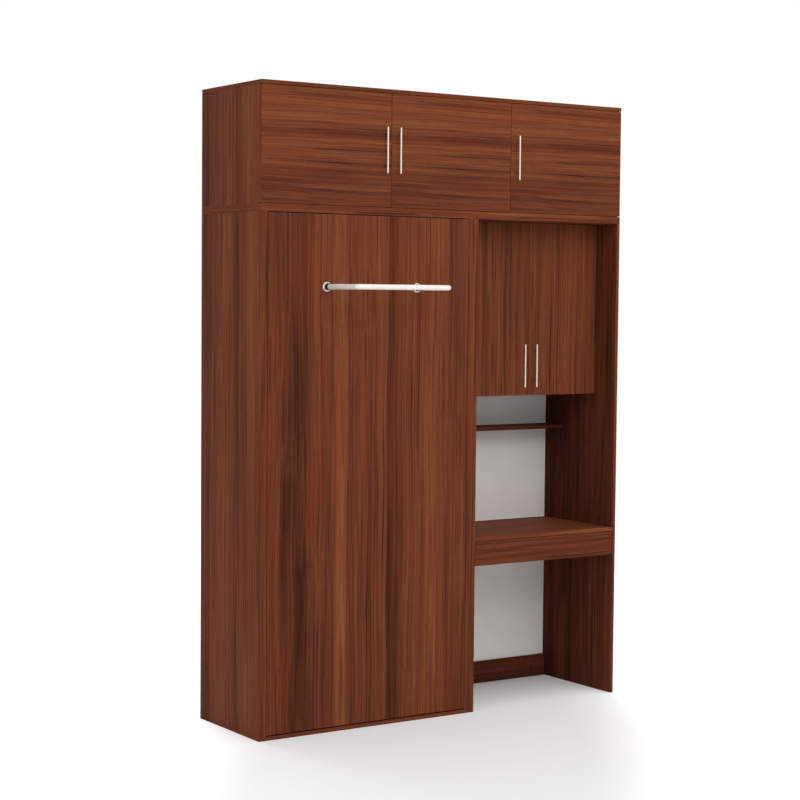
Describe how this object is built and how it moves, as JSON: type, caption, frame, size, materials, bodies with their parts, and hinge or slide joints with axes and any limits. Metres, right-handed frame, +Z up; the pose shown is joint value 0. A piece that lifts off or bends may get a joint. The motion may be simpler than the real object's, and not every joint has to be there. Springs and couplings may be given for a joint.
{
  "type": "wall bed",
  "caption": "Fold-down single bed in a walnut-finish cabinet, with a desk, drawer, shelf and doored cupboards beside and above it.",
  "frame": {"origin": "on the floor, in the middle of the width and depth of the boards and back sheet, where the bed unit's bottom board rests", "axes": "+Z up, the longest extent; the front with the doors faces -Y and the wall face is +Y; +X to the right when facing the front"},
  "size_m": [1.83, 0.749, 2.62],
  "materials": {
    "walnut_board": "satin",
    "white_back_sheet": "satin",
    "white_drawer_board": "satin",
    "beech_slats": "satin",
    "mattress_ticking": "matte",
    "strap_webbing": "matte",
    "satin_tube_steel": "satin",
    "satin_handle_steel": "satin",
    "nickel_hinge_steel": "satin",
    "zinc_plated_steel": "satin",
    "black_collar_plastic": "satin",
    "black_strut_enamel": "satin",
    "polished_strut_rod": "polished"
  },
  "bodies": {
    "cabinet": {"bed_unit_left_side": "walnut_board", "bed_unit_right_side": "walnut_board", "bed_unit_top_board": "walnut_board", "bed_unit_bottom_board": "walnut_board", "bed_unit_front_stiles": "walnut_board", "bed_unit_back_panel": "white_back_sheet", "desk_unit_left_side": "walnut_board", "desk_unit_right_side": "walnut_board", "desk_unit_top_board": "walnut_board", "desk_unit_back_panel": "white_back_sheet", "desk_worktop": "walnut_board", "niche_shelf": "walnut_board", "desk_floor_rail": "walnut_board", "wall_cabinet_floor": "walnut_board", "wall_cabinet_shelf": "walnut_board", "top_cabinet_floor": "walnut_board", "top_cabinet_roof": "walnut_board", "top_cabinet_sides": "walnut_board", "top_cabinet_partitions": "walnut_board", "top_cabinet_back_panel": "white_back_sheet", "wall_fixing_rails": "walnut_board", "unit_joining_bolts": "zinc_plated_steel", "cabinet_mechanism_plates": "zinc_plated_steel", "drawer_runner_channels": "zinc_plated_steel", "hinge_arms": "nickel_hinge_steel"},
    "bed": {"bed_front_panel": "walnut_board", "bed_side_rails": "walnut_board", "bed_end_boards": "walnut_board", "slat_bearers": "beech_slats", "slats": "beech_slats", "mattress": "mattress_ticking", "mattress_straps": "strap_webbing", "bed_leg_tube": "satin_tube_steel", "leg_flanges": "satin_tube_steel", "leg_collars": "black_collar_plastic", "bed_mechanism_plates": "zinc_plated_steel"},
    "drawer": {"drawer_front": "walnut_board", "drawer_box_sides": "white_drawer_board", "drawer_box_ends": "white_drawer_board", "drawer_bottom": "white_back_sheet", "drawer_runner_slides": "zinc_plated_steel"},
    "top_left_door": {"top_left_door": "walnut_board", "top_left_door_handle": "satin_handle_steel", "top_left_door_hinge_cups": "nickel_hinge_steel"},
    "top_middle_door": {"top_middle_door": "walnut_board", "top_middle_door_handle": "satin_handle_steel", "top_middle_door_hinge_cups": "nickel_hinge_steel"},
    "top_right_door": {"top_right_door": "walnut_board", "top_right_door_handle": "satin_handle_steel", "top_right_door_hinge_cups": "nickel_hinge_steel"},
    "wall_left_door": {"wall_left_door": "walnut_board", "wall_left_door_handle": "satin_handle_steel", "wall_left_door_hinge_cups": "nickel_hinge_steel"},
    "wall_right_door": {"wall_right_door": "walnut_board", "wall_right_door_handle": "satin_handle_steel", "wall_right_door_hinge_cups": "nickel_hinge_steel"},
    "left_strut_cylinder": {"left_strut_cylinder": "black_strut_enamel"},
    "left_strut_rod": {"left_strut_rod": "polished_strut_rod"},
    "right_strut_cylinder": {"right_strut_cylinder": "black_strut_enamel"},
    "right_strut_rod": {"right_strut_rod": "polished_strut_rod"}
  },
  "joints": [
    {"name": "bed_fold", "type": "hinge", "parent": "cabinet", "child": "bed", "pos_m": [-0.3965, -0.2195, 0.28], "axis": [1, 0, 0], "range_deg": [0, 90]},
    {"name": "left_strut_cylinder_pivot", "type": "hinge", "parent": "cabinet", "child": "left_strut_cylinder", "pos_m": [-0.882, -0.18749, 0.50776], "axis": [1, 0, 0], "range_deg": [0, 45]},
    {"name": "left_strut_rod_pivot", "type": "hinge", "parent": "bed", "child": "left_strut_rod", "pos_m": [-0.882, -0.17168, 0.05503], "axis": [1, 0, 0], "range_deg": [-45, 0]},
    {"name": "right_strut_cylinder_pivot", "type": "hinge", "parent": "cabinet", "child": "right_strut_cylinder", "pos_m": [0.089, -0.18749, 0.50776], "axis": [1, 0, 0], "range_deg": [0, 45]},
    {"name": "right_strut_rod_pivot", "type": "hinge", "parent": "bed", "child": "right_strut_rod", "pos_m": [0.089, -0.17168, 0.05503], "axis": [1, 0, 0], "range_deg": [-45, 0]},
    {"name": "top_left_door_hinge", "type": "hinge", "parent": "cabinet", "child": "top_left_door", "pos_m": [-0.914, -0.2495, 2.371], "axis": [0, 0, -1], "range_deg": [0, 110]},
    {"name": "top_middle_door_hinge", "type": "hinge", "parent": "cabinet", "child": "top_middle_door", "pos_m": [0.304, -0.2495, 2.371], "axis": [0, 0, 1], "range_deg": [0, 110]},
    {"name": "top_right_door_hinge", "type": "hinge", "parent": "cabinet", "child": "top_right_door", "pos_m": [0.914, -0.2495, 2.371], "axis": [0, 0, 1], "range_deg": [0, 110]},
    {"name": "wall_left_door_hinge", "type": "hinge", "parent": "cabinet", "child": "wall_left_door", "pos_m": [0.14, -0.1105, 1.7245], "axis": [0, 0, -1], "range_deg": [0, 90]},
    {"name": "wall_right_door_hinge", "type": "hinge", "parent": "cabinet", "child": "wall_right_door", "pos_m": [0.897, -0.1105, 1.7245], "axis": [0, 0, 1], "range_deg": [0, 90]},
    {"name": "drawer_slide", "type": "slide", "parent": "cabinet", "child": "drawer", "axis": [0, -1, 0], "range_m": [0, 0.3]}
  ],
  "couplings": [
    {"joint": "left_strut_cylinder_pivot", "follows": "bed_fold", "ratio": 0.5},
    {"joint": "left_strut_rod_pivot", "follows": "bed_fold", "ratio": -0.5},
    {"joint": "right_strut_cylinder_pivot", "follows": "bed_fold", "ratio": 0.5},
    {"joint": "right_strut_rod_pivot", "follows": "bed_fold", "ratio": -0.5}
  ]
}
